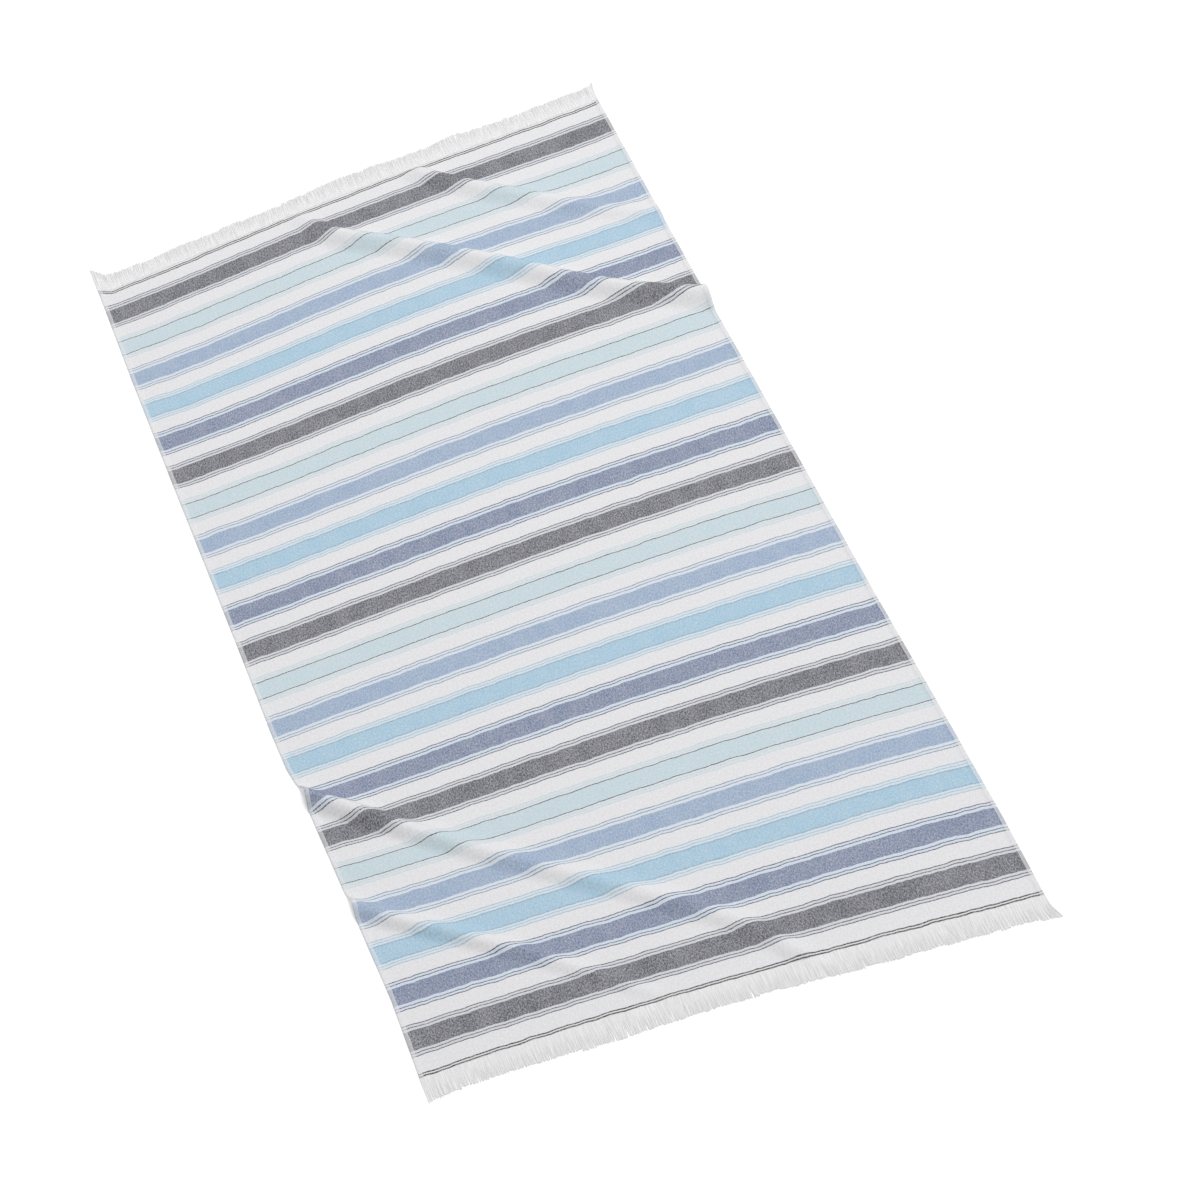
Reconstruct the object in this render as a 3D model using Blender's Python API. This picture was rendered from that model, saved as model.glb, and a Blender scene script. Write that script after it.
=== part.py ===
"""Striped beach towel: one woven cloth with narrow side hems and a cut fringe at both ends.

The towel lies open on a floor. Four soft diagonal folds cross it, two from the far end
to the right side and two from the left side to the near end. Between the folds the
cloth lies flat on the floor.

X runs across the towel, +Y towards its far end and +Z up. The origin is on the floor
at the middle of the towel's box. Metres.
"""

import math
import random

import bmesh
import bpy
import numpy as np

# The cloth, cut size
CLOTH_WIDTH = 1.016
CLOTH_LENGTH = 1.716
CLOTH_THICK = 0.0024
HEM_WIDTH = 0.0070
HEM_THICK = 0.0034
HEM_STEP = 0.0012

# The fringe: warp yarns left long past the last weft, gathered here into locks. Shares
# are of one lock's pitch.
LOCKS_EACH_END = 144
LOCK_ROOT_SHARE = 0.80
LOCK_TIP_SHARE = 0.52
HEADING_DEPTH = 0.0030
HEADING_THICK = 0.0022
LOCK_TIP_THICK = 0.0013
FRINGE_GAP = 0.0003
LENGTH_SPREAD = 0.0012
DRIFT_SPREAD = 0.0005
DRIFT_WAVE = 0.0016
DRIFT_WAVE_LENGTH = 0.19
FRINGE_SEED = {"far": 7, "near": 8}

# How far the cut tips reach past the cloth's end, and how far they flare to the right.
# Each row is one place across the towel.
TIP_COLUMNS = ("across", "reach", "flare")
FRINGE_TIPS = {
    "far": (
        (-0.508, 0.048, 0.000),
        (-0.490, 0.039, 0.000),
        (-0.460, 0.032, 0.000),
        (-0.300, 0.034, 0.000),
        (-0.140, 0.032, 0.000),
        (-0.060, 0.038, 0.000),
        (0.060, 0.039, 0.000),
        (0.140, 0.034, 0.000),
        (0.220, 0.041, 0.000),
        (0.320, 0.035, 0.000),
        (0.380, 0.038, 0.000),
        (0.480, 0.038, 0.000),
        (0.508, 0.039, 0.008),
    ),
    "near": (
        (-0.508, 0.039, -0.001),
        (-0.460, 0.033, 0.000),
        (-0.300, 0.035, 0.000),
        (-0.220, 0.038, 0.000),
        (-0.130, 0.037, 0.000),
        (-0.060, 0.035, 0.000),
        (0.060, 0.034, 0.000),
        (0.140, 0.037, 0.000),
        (0.260, 0.037, 0.000),
        (0.340, 0.036, 0.000),
        (0.470, 0.036, 0.000),
        (0.490, 0.038, 0.003),
        (0.508, 0.040, 0.010),
    ),
}

# Middle of the box round the laid towel, counted from the middle of the cloth
LAID_MIDDLE = (-0.0001, -0.0110)

# How the cloth was laid by hand. At each station along the cloth: how far its two
# edges lie to the right of straight, and how far its left side, left quarter, middle,
# right quarter and right side are drawn towards the far end.
LAY_COLUMNS = (
    "along",
    "left_edge",
    "right_edge",
    "left",
    "left_quarter",
    "middle",
    "right_quarter",
    "right",
)
LAY_TABLE = (
    (0.858, 0.001, 0.004, -0.043, -0.018, 0.005, 0.019, 0.034),
    (0.636, -0.003, 0.003, -0.028, -0.011, 0.012, 0.018, 0.022),
    (0.398, -0.005, 0.002, -0.017, -0.006, 0.010, 0.017, 0.021),
    (0.159, -0.006, 0.003, -0.010, -0.003, 0.005, 0.006, 0.004),
    (0.000, -0.007, 0.003, -0.003, 0.001, 0.004, 0.001, -0.008),
    (-0.159, -0.009, 0.003, 0.002, 0.004, 0.002, -0.004, -0.018),
    (-0.240, -0.008, 0.003, 0.008, 0.005, 0.002, -0.007, -0.022),
    (-0.290, -0.001, 0.003, 0.011, 0.006, 0.003, -0.008, -0.025),
    (-0.477, 0.003, 0.005, 0.032, 0.014, 0.003, -0.013, -0.036),
    (-0.715, 0.008, 0.006, 0.044, 0.025, 0.003, -0.017, -0.047),
    (-0.858, 0.003, 0.003, 0.049, 0.032, 0.008, -0.022, -0.055),
)

# The four folds. Each row is one station of a crest: where it is on the flat cloth
# (across from the middle, along from the middle), how high the crest stands, and how
# far its near and its far foot lie from it.
CREST_COLUMNS = ("across", "along", "rise", "near", "far")
FOLDS = {
    "far_long": (
        (-0.125, 0.862, 0.0000, 0.032, 0.024),
        (-0.071, 0.776, 0.0150, 0.032, 0.024),
        (0.025, 0.701, 0.0160, 0.033, 0.023),
        (0.184, 0.579, 0.0175, 0.035, 0.023),
        (0.334, 0.460, 0.0180, 0.034, 0.022),
        (0.444, 0.392, 0.0180, 0.032, 0.024),
        (0.562, 0.333, 0.0200, 0.036, 0.028),
    ),
    "far_short": (
        (0.081, 0.894, 0.0030, 0.030, 0.020),
        (0.144, 0.822, 0.0130, 0.032, 0.019),
        (0.199, 0.773, 0.0140, 0.032, 0.020),
        (0.302, 0.696, 0.0110, 0.031, 0.022),
        (0.422, 0.616, 0.0075, 0.030, 0.026),
        (0.540, 0.552, 0.0010, 0.028, 0.028),
    ),
    "near_long": (
        (-0.571, -0.251, 0.0220, 0.024, 0.026),
        (-0.468, -0.344, 0.0200, 0.023, 0.025),
        (-0.358, -0.448, 0.0130, 0.023, 0.027),
        (-0.224, -0.561, 0.0105, 0.025, 0.030),
        (-0.077, -0.671, 0.0085, 0.026, 0.030),
        (0.029, -0.754, 0.0085, 0.027, 0.027),
        (0.087, -0.817, 0.0085, 0.026, 0.025),
        (0.133, -0.891, 0.0065, 0.025, 0.024),
    ),
    "near_short": (
        (-0.572, -0.489, 0.0160, 0.020, 0.026),
        (-0.453, -0.585, 0.0125, 0.019, 0.025),
        (-0.308, -0.695, 0.0095, 0.019, 0.023),
        (-0.214, -0.769, 0.0060, 0.018, 0.022),
        (-0.126, -0.844, 0.0030, 0.016, 0.020),
    ),
}
LEAN = 0.33
CREST_STEPS = 8

# Each fold sinks to the floor over this length before the cloth's end
END_FADE = 0.016

# The flat net that the cloth is cut from runs along the folds: close rows over each
# fold, wide ones between them
FOLD_ANGLE = math.radians(-39.0)
NET_REACH = 1.02
NET_STEP_ALONG = 0.036
NET_STEP_FOLD = 0.0072
NET_STEP_FLAT = 0.085
FOLD_BANDS = ((-0.800, -0.665), (-0.640, -0.505), (0.490, 0.630), (0.662, 0.800))


def smooth_line(stations, steps):
    """Points of a Catmull-Rom curve through the stations."""
    rows = np.array(stations, float)
    padded = np.vstack([2 * rows[0] - rows[1], rows, 2 * rows[-1] - rows[-2]])
    points = []
    for i in range(len(rows) - 1):
        before, start, end, after = padded[i : i + 4]
        for k in range(steps):
            t = k / steps
            points.append(
                start
                + 0.5 * t * (end - before)
                + t * t * (before - 2.5 * start + 2 * end - 0.5 * after)
                + t * t * t * (1.5 * (start - end) + 0.5 * (after - before))
            )
    points.append(rows[-1])
    return np.array(points)


def nearest_on_line(x, y, line):
    """For each point: its signed distance to the line, plus towards the far right, the
    line's own values there and the line's unit normal."""
    best = np.full(x.shape, np.inf)
    side = np.zeros_like(x)
    values = np.zeros((line.shape[1], *x.shape))
    normal_x = np.zeros_like(x)
    normal_y = np.zeros_like(x)
    for start, end in zip(line[:-1], line[1:]):
        run = end[:2] - start[:2]
        length = math.hypot(run[0], run[1])
        unit = run / length
        along = (x - start[0]) * unit[0] + (y - start[1]) * unit[1]
        share = np.clip(along / length, 0.0, 1.0)
        off_x = x - start[0] - share * run[0]
        off_y = y - start[1] - share * run[1]
        distance = np.hypot(off_x, off_y)
        nearer = distance < best
        across = -(x - start[0]) * unit[1] + (y - start[1]) * unit[0]
        best = np.where(nearer, distance, best)
        side = np.where(nearer, np.where(across < 0, -distance, distance), side)
        here = start[:, None] + share * (end - start)[:, None]
        values = np.where(nearer, here, values)
        normal_x = np.where(nearer, -unit[1], normal_x)
        normal_y = np.where(nearer, unit[0], normal_y)
    return side, dict(zip(CREST_COLUMNS, values)), normal_x, normal_y


def ridge(distance, near, far):
    """Height across a fold, 1 at its crest: a soft wave down to its near and far foot."""
    turn = np.clip(distance / np.where(distance < 0, near, far), -1.0, 1.0)
    return np.where(np.abs(turn) < 1.0, np.cos(0.5 * math.pi * turn) ** 2, 0.0)


CRESTS = [smooth_line(stations, CREST_STEPS) for stations in FOLDS.values()]


def lay_level(x, y):
    """Where points of the flat cloth come to lie on the floor, before the folds."""
    table = dict(zip(LAY_COLUMNS, np.array(LAY_TABLE[::-1]).T))
    at = {name: np.interp(y, table["along"], table[name]) for name in LAY_COLUMNS[1:]}
    share = x / (0.5 * CLOTH_WIDTH)
    laid_x = x + 0.5 * (1 - share) * at["left_edge"] + 0.5 * (1 + share) * at["right_edge"]
    # One smooth curve across the cloth through its five drawn places
    drawn = (1 - share**2) * (1 - 4 * share**2) * at["middle"]
    for side, outer, quarter in ((-1, "left", "left_quarter"), (1, "right", "right_quarter")):
        turned = side * share
        drawn = drawn + turned * (turned + 1) * (4 * share**2 - 1) / 6 * at[outer]
        drawn = drawn + 4 * turned * (2 * turned + 1) * (1 - share**2) / 3 * at[quarter]
    return laid_x - LAID_MIDDLE[0], y + drawn - LAID_MIDDLE[1]


def lay(x, y):
    """Where points of the flat cloth come to lie: X, Y and the height of its underside."""
    laid_x, laid_y = lay_level(x, y)
    height = np.zeros_like(x)
    to_end = np.clip((0.5 * CLOTH_LENGTH - np.abs(y)) / END_FADE, 0.0, 1.0)
    fade = to_end * to_end * (3 - 2 * to_end)
    for crest in CRESTS:
        side, values, normal_x, normal_y = nearest_on_line(x, y, crest)
        lift = fade * values["rise"] * ridge(side, values["near"], values["far"])
        laid_x = laid_x + LEAN * lift * normal_x
        laid_y = laid_y + LEAN * lift * normal_y
        height = height + lift
    return laid_x, laid_y, height


def lay_normal(x, y):
    """The laid cloth's unit normal, from two short steps on the flat cloth."""
    step = 0.0005
    right = np.subtract(lay(x + step, y), lay(x - step, y))
    up = np.subtract(lay(x, y + step), lay(x, y - step))
    normal = np.cross(right.T, up.T)
    return normal / np.linalg.norm(normal, axis=1)[:, None]


def net_rows():
    """Distances of the net's rows from the cloth's middle, measured across the folds."""
    rows = []
    edge = -NET_REACH
    for low, high in FOLD_BANDS + ((NET_REACH, NET_REACH),):
        flat_steps = max(1, round((low - edge) / NET_STEP_FLAT))
        rows += [edge + (low - edge) * k / flat_steps for k in range(flat_steps)]
        fold_steps = round((high - low) / NET_STEP_FOLD)
        rows += [low + (high - low) * k / max(1, fold_steps) for k in range(fold_steps)]
        edge = high
    return rows + [NET_REACH]


def flat_net():
    """The net of quads, turned to run along the folds and cut to the cloth's size."""
    columns = int(2 * NET_REACH / NET_STEP_ALONG) + 1
    along = [NET_REACH * (2 * k / (columns - 1) - 1) for k in range(columns)]
    cosine = math.cos(FOLD_ANGLE)
    sine = math.sin(FOLD_ANGLE)
    net = bmesh.new()
    grid = []
    for row in net_rows():
        places = [(a * cosine - row * sine, a * sine + row * cosine, 0.0) for a in along]
        grid.append([net.verts.new(place) for place in places])
    for low, high in zip(grid[:-1], grid[1:]):
        for k in range(columns - 1):
            net.faces.new((low[k], low[k + 1], high[k + 1], high[k]))
    half = (0.5 * CLOTH_WIDTH, 0.5 * CLOTH_LENGTH)
    for direction in ((1, 0, 0), (-1, 0, 0), (0, 1, 0), (0, -1, 0)):
        reach = half[0] if direction[0] else half[1]
        cut(net, direction, reach, clear=True)
    for direction in ((1, 0, 0), (-1, 0, 0)):
        cut(net, direction, half[0] - HEM_WIDTH, clear=False)
        cut(net, direction, half[0] - HEM_WIDTH - HEM_STEP, clear=False)
    return net


def cut(net, direction, reach, clear):
    """Cuts the net along the plane that stands this far out, and clears what is past it."""
    bmesh.ops.bisect_plane(
        net,
        geom=net.verts[:] + net.edges[:] + net.faces[:],
        dist=1e-6,
        plane_co=[reach * part for part in direction],
        plane_no=direction,
        clear_outer=clear,
    )


def thickness(x):
    """The cloth's thickness: the turned hems at its two sides are thicker."""
    inside = 0.5 * CLOTH_WIDTH - HEM_WIDTH - np.abs(x)
    share = np.clip(1.0 - inside / HEM_STEP, 0.0, 1.0)
    return CLOTH_THICK + (HEM_THICK - CLOTH_THICK) * share


def fabric(name, colour, roughness):
    material = bpy.data.materials.new(name)
    material.use_nodes = True
    shader = material.node_tree.nodes["Principled BSDF"]
    shader.inputs["Base Color"].default_value = (*colour, 1.0)
    shader.inputs["Roughness"].default_value = roughness
    shader.inputs["Metallic"].default_value = 0.0
    return material


def add_object(name, net, material, smooth_angle):
    bmesh.ops.recalc_face_normals(net, faces=net.faces[:])
    mesh = bpy.data.meshes.new(name)
    net.to_mesh(mesh)
    net.free()
    mesh.materials.append(material)
    mesh.shade_smooth()
    mesh.set_sharp_from_angle(angle=math.radians(smooth_angle))
    made = bpy.data.objects.new(name, mesh)
    bpy.context.scene.collection.objects.link(made)
    return made


def build_cloth():
    """One closed sheet: the flat net, thickened, then laid over the floor and the folds."""
    net = flat_net()
    raised = bmesh.ops.extrude_face_region(net, geom=net.faces[:])
    for vert in (part for part in raised["geom"] if isinstance(part, bmesh.types.BMVert)):
        vert.co.z = 1.0
    flat = np.array([vert.co[:] for vert in net.verts])
    x, y, is_top = flat.T
    laid = np.stack(lay(x, y), axis=1)
    laid = laid + lay_normal(x, y) * (thickness(x) * is_top)[:, None]
    for vert, place in zip(net.verts, laid):
        vert.co = place
    return add_object("towel_cloth", net, fabric("woven_cotton", (0.79, 0.79, 0.81), 0.9), 50)


def lock_tip(end, middle, rng):
    """How far one lock reaches past the cloth's end, and how far its tip lies to the right."""
    table = dict(zip(TIP_COLUMNS, np.array(FRINGE_TIPS[end]).T))
    reach = np.interp(middle, table["across"], table["reach"])
    flare = np.interp(middle, table["across"], table["flare"])
    drift = DRIFT_WAVE * math.sin(2 * math.pi * middle / DRIFT_WAVE_LENGTH)
    return (
        reach + LENGTH_SPREAD * rng.uniform(-1, 1),
        flare + drift + DRIFT_SPREAD * rng.uniform(-1, 1),
    )


def build_fringe(end):
    """A narrow heading strip just past the cloth's end, with the cut locks fused to it."""
    sign = 1 if end == "far" else -1
    pitch = CLOTH_WIDTH / LOCKS_EACH_END
    back = sign * (0.5 * CLOTH_LENGTH + FRINGE_GAP)
    front = back + sign * HEADING_DEPTH
    stations = [-0.5 * CLOTH_WIDTH]
    for i in range(LOCKS_EACH_END):
        middle = -0.5 * CLOTH_WIDTH + (i + 0.5) * pitch
        stations += [middle - 0.5 * LOCK_ROOT_SHARE * pitch, middle + 0.5 * LOCK_ROOT_SHARE * pitch]
    stations.append(0.5 * CLOTH_WIDTH)
    strip = bmesh.new()
    rings = []
    for x in stations:
        ring = []
        for y, top in ((back, 0.0), (front, 0.0), (front, HEADING_THICK), (back, HEADING_THICK)):
            ring.append(strip.verts.new((*lay_level(x, y), top)))
        rings.append(ring)
    fronts = []
    for k in range(len(rings) - 1):
        left, right = rings[k], rings[k + 1]
        for a, b in ((0, 1), (1, 2), (2, 3), (3, 0)):
            face = strip.faces.new((left[a], left[b], right[b], right[a]))
            if a == 1 and k % 2 == 1:
                fronts.append(face)
    strip.faces.new(rings[0])
    strip.faces.new(rings[-1])
    bmesh.ops.recalc_face_normals(strip, faces=strip.faces[:])
    rng = random.Random(FRINGE_SEED[end])
    tips = bmesh.ops.extrude_discrete_faces(strip, faces=fronts)["faces"]
    for i, face in enumerate(tips):
        middle = -0.5 * CLOTH_WIDTH + (i + 0.5) * pitch
        root_x = lay_level(middle, front)[0]
        reach, drift = lock_tip(end, middle, rng)
        for vert in face.verts:
            side = 1 if vert.co.x > root_x else -1
            x = middle + drift + 0.5 * side * LOCK_TIP_SHARE * pitch
            top = LOCK_TIP_THICK if vert.co.z > 0.0 else 0.0
            vert.co = (*lay_level(x, sign * (0.5 * CLOTH_LENGTH + reach)), top)
    return add_object(f"fringe_{end}", strip, fabric(f"cotton_yarn_{end}", (0.83, 0.83, 0.82), 0.95), 40)


for old in list(bpy.data.objects):
    bpy.data.objects.remove(old, do_unlink=True)
build_cloth()
build_fringe("far")
build_fringe("near")
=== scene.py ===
"""The looks of the striped beach towel: woven cloth, stitched side hems and cut fringes.

Metres throughout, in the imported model's frame: X across the towel, +Y towards its far
end, +Z up, with the floor at zero.
"""

import math
import random

import bpy
import numpy as np
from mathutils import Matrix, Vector


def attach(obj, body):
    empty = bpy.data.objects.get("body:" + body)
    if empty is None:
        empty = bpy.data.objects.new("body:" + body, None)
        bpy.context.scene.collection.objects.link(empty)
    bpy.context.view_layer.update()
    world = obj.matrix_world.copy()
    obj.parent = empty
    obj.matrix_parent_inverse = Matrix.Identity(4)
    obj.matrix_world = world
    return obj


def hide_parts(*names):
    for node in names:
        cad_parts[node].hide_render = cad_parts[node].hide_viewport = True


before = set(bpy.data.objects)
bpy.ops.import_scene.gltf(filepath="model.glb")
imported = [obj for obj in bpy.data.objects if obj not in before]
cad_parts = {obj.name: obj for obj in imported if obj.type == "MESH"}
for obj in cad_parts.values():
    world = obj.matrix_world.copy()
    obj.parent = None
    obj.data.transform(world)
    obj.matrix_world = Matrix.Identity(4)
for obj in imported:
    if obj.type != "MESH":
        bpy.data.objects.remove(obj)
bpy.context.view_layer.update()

# ---------------------------------------------------------------------------------------
# Camera
# It looks down on the laid towel from over its near left side, with a long lens and no
# roll, so that the far end leans away to the upper left of the picture.
# ---------------------------------------------------------------------------------------
CAMERA_TURN = math.radians(-23.08)
CAMERA_HEIGHT_ANGLE = math.radians(59.22)
CAMERA_DISTANCE = 4.2224
CAMERA_TARGET = Vector((0.0782, -0.1261, 0.0))
CAMERA_LENS = 75.0
CAMERA_FILM = 36.0

level = math.cos(CAMERA_HEIGHT_ANGLE)
sight_line = Vector(
    (
        -math.sin(CAMERA_TURN) * level,
        math.cos(CAMERA_TURN) * level,
        -math.sin(CAMERA_HEIGHT_ANGLE),
    )
)
camera_data = bpy.data.cameras.new("camera")
camera_data.lens = CAMERA_LENS
camera_data.sensor_width = CAMERA_FILM
camera_data.clip_end = 50.0
camera = bpy.data.objects.new("camera", camera_data)
camera.location = CAMERA_TARGET - CAMERA_DISTANCE * sight_line
camera.rotation_euler = sight_line.to_track_quat("-Z", "Y").to_euler()
bpy.context.scene.collection.objects.link(camera)
bpy.context.scene.camera = camera

# ---------------------------------------------------------------------------------------
# Floor and light
# A plain white studio floor, lit from below as a light table is. A third of the light is
# even and comes from all round. The rest comes from a broad soft lamp hung high over the
# far right, which shades the folds' near slopes.
# ---------------------------------------------------------------------------------------
FLOOR_REACH = 12.0
FLOOR_DROP = 0.0003
FLOOR_CORNERS = ((-1, -1), (1, -1), (1, 1), (-1, 1))
FLOOR_COLOUR = (0.68, 0.68, 0.68)
FLOOR_GLOW = 0.38
ROOM_LIGHT = 0.29
LAMP_POWER = 965.0
LAMP_SIZE = 4.6
LAMP_DISTANCE = 11.0
LAMP_HEIGHT_ANGLE = math.radians(73.0)
LAMP_SIDE = Vector((0.75, 0.66, 0.0)).normalized()
MATT_SHINE = 0.2
WHITE = (1.0, 1.0, 1.0, 1.0)


def new_finish(name, roughness, sheen=0.0):
    """A matt material with its shader's plain numbers set, its node tree and its shader."""
    finish = bpy.data.materials.new(name)
    finish.use_nodes = True
    shader = finish.node_tree.nodes["Principled BSDF"]
    shader.inputs["Roughness"].default_value = roughness
    shader.inputs["Sheen Weight"].default_value = sheen
    shader.inputs["Specular IOR Level"].default_value = MATT_SHINE
    return finish, finish.node_tree, shader


floor_mesh = bpy.data.meshes.new("floor")
floor_corners = [(x * FLOOR_REACH, y * FLOOR_REACH, -FLOOR_DROP) for x, y in FLOOR_CORNERS]
floor_mesh.from_pydata(floor_corners, [], [(0, 1, 2, 3)])
floor = bpy.data.objects.new("floor", floor_mesh)
bpy.context.scene.collection.objects.link(floor)
floor_finish, _, floor_shader = new_finish("matt_floor", 0.9)
floor_shader.inputs["Base Color"].default_value = (*FLOOR_COLOUR, 1.0)
floor_shader.inputs["Emission Color"].default_value = WHITE
floor_shader.inputs["Emission Strength"].default_value = FLOOR_GLOW
floor_mesh.materials.append(floor_finish)

room = bpy.data.worlds.new("studio")
room.use_nodes = True
even_light = room.node_tree.nodes["Background"]
even_light.inputs["Color"].default_value = WHITE
even_light.inputs["Strength"].default_value = ROOM_LIGHT
bpy.context.scene.world = room
bpy.context.scene.view_settings.view_transform = "Standard"

lamp_data = bpy.data.lights.new("soft_lamp", "AREA")
lamp_data.shape = "DISK"
lamp_data.size = LAMP_SIZE
lamp_data.energy = LAMP_POWER
lamp = bpy.data.objects.new("soft_lamp", lamp_data)
lamp_ray = -LAMP_SIDE * math.cos(LAMP_HEIGHT_ANGLE) - Vector((0, 0, math.sin(LAMP_HEIGHT_ANGLE)))
lamp.location = -lamp_ray * LAMP_DISTANCE
lamp.rotation_euler = lamp_ray.to_track_quat("-Z", "Y").to_euler()
bpy.context.scene.collection.objects.link(lamp)

# ---------------------------------------------------------------------------------------
# The woven cloth
# One length of light cotton in plain weave: a white warp all along it, and wefts that
# change colour to make 21 cross stripes. Its long sides are turned over and sewn down.
# It was opened out on the floor by hand, which left four soft diagonal folds in it.
# ---------------------------------------------------------------------------------------
CLOTH_WIDTH = 1.016
CLOTH_LENGTH = 1.716
CLOTH_THICK = 0.0024
HEM_WIDTH = 0.0070
HEM_THICK = 0.0034
HEM_STEP = 0.0012
HALF_WIDTH = 0.5 * CLOTH_WIDTH
HALF_LENGTH = 0.5 * CLOTH_LENGTH

# Middle of the box round the laid towel, counted from the middle of the cloth
LAID_MIDDLE = (-0.0001, -0.0110)

# How the cloth was laid by hand. At each station along the cloth: how far its two
# edges lie to the right of straight, and how far its left side, left quarter, middle,
# right quarter and right side are drawn towards the far end.
LAY_COLUMNS = (
    "along",
    "left_edge",
    "right_edge",
    "left",
    "left_quarter",
    "middle",
    "right_quarter",
    "right",
)
LAY_TABLE = (
    (0.858, 0.001, 0.004, -0.043, -0.018, 0.005, 0.019, 0.034),
    (0.636, -0.003, 0.003, -0.028, -0.011, 0.012, 0.018, 0.022),
    (0.398, -0.005, 0.002, -0.017, -0.006, 0.010, 0.017, 0.021),
    (0.159, -0.006, 0.003, -0.010, -0.003, 0.005, 0.006, 0.004),
    (0.000, -0.007, 0.003, -0.003, 0.001, 0.004, 0.001, -0.008),
    (-0.159, -0.009, 0.003, 0.002, 0.004, 0.002, -0.004, -0.018),
    (-0.240, -0.008, 0.003, 0.008, 0.005, 0.002, -0.007, -0.022),
    (-0.290, -0.001, 0.003, 0.011, 0.006, 0.003, -0.008, -0.025),
    (-0.477, 0.003, 0.005, 0.032, 0.014, 0.003, -0.013, -0.036),
    (-0.715, 0.008, 0.006, 0.044, 0.025, 0.003, -0.017, -0.047),
    (-0.858, 0.003, 0.003, 0.049, 0.032, 0.008, -0.022, -0.055),
)

# The four folds. Each row is one station of a crest: where it is on the flat cloth
# (across from the middle, along from the middle), how high the crest stands, and how
# far its near and its far foot lie from it.
CREST_COLUMNS = ("across", "along", "rise", "near", "far")
FOLDS = {
    "far_long": (
        (-0.125, 0.862, 0.0000, 0.032, 0.024),
        (-0.071, 0.776, 0.0150, 0.032, 0.024),
        (0.025, 0.701, 0.0160, 0.033, 0.023),
        (0.184, 0.579, 0.0175, 0.035, 0.023),
        (0.334, 0.460, 0.0180, 0.034, 0.022),
        (0.444, 0.392, 0.0180, 0.032, 0.024),
        (0.562, 0.333, 0.0200, 0.036, 0.028),
    ),
    "far_short": (
        (0.081, 0.894, 0.0030, 0.030, 0.020),
        (0.144, 0.822, 0.0130, 0.032, 0.019),
        (0.199, 0.773, 0.0140, 0.032, 0.020),
        (0.302, 0.696, 0.0110, 0.031, 0.022),
        (0.422, 0.616, 0.0075, 0.030, 0.026),
        (0.540, 0.552, 0.0010, 0.028, 0.028),
    ),
    "near_long": (
        (-0.571, -0.251, 0.0220, 0.024, 0.026),
        (-0.468, -0.344, 0.0200, 0.023, 0.025),
        (-0.358, -0.448, 0.0130, 0.023, 0.027),
        (-0.224, -0.561, 0.0105, 0.025, 0.030),
        (-0.077, -0.671, 0.0085, 0.026, 0.030),
        (0.029, -0.754, 0.0085, 0.027, 0.027),
        (0.087, -0.817, 0.0085, 0.026, 0.025),
        (0.133, -0.891, 0.0065, 0.025, 0.024),
    ),
    "near_short": (
        (-0.572, -0.489, 0.0160, 0.020, 0.026),
        (-0.453, -0.585, 0.0125, 0.019, 0.025),
        (-0.308, -0.695, 0.0095, 0.019, 0.023),
        (-0.214, -0.769, 0.0060, 0.018, 0.022),
        (-0.126, -0.844, 0.0030, 0.016, 0.020),
    ),
}

# How far a crest leans over to its far side, as a share of its height
LEAN = 0.33
CREST_STEPS = 8

# Each fold sinks to the floor over this length before the cloth's end
END_FADE = 0.016

# Corners tugged out while the towel was laid: which corner, how far it is drawn past
# the rest of its end, over how much of the end, and how far back the tug is felt. A side
# is -1 at the left and 1 at the right, and an end is 1 at the far end.
TUG_COLUMNS = ("side", "end", "drawn", "across", "back")
CORNER_TUGS = (
    (-1, 1, 0.011, 0.026, 0.050),
    (1, 1, 0.005, 0.012, 0.030),
)

# The net: its step, and closer places near the hemmed sides and the two ends
NET_STEP = 0.0067
SIDE_PLACES = (0.0, 0.0005, 0.0014, 0.0034, 0.0052, 0.0060, 0.0068, 0.0076, 0.0084)
END_PLACES = (0.0, 0.0009, 0.0022)
NORMAL_STEP = 0.0005

# The edges: the hem's rolled edge, how far in and how deep its stitches pull, and what
# is left of the cloth's thickness at its two ends
ROLLED_EDGE = 0.0014
SEAM_PLACE = 0.0058
SEAM_DIP = 0.0005
SEAM_SOFTNESS = 0.0007
END_THICK_SHARE = 0.55


def smooth_line(stations, steps):
    """Points of a Catmull-Rom curve through the stations."""
    rows = np.array(stations, float)
    padded = np.vstack([2 * rows[0] - rows[1], rows, 2 * rows[-1] - rows[-2]])
    points = []
    for i in range(len(rows) - 1):
        before, start, end, after = padded[i : i + 4]
        for k in range(steps):
            t = k / steps
            points.append(
                start
                + 0.5 * t * (end - before)
                + t * t * (before - 2.5 * start + 2 * end - 0.5 * after)
                + t * t * t * (1.5 * (start - end) + 0.5 * (after - before))
            )
    points.append(rows[-1])
    return np.array(points)


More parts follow.
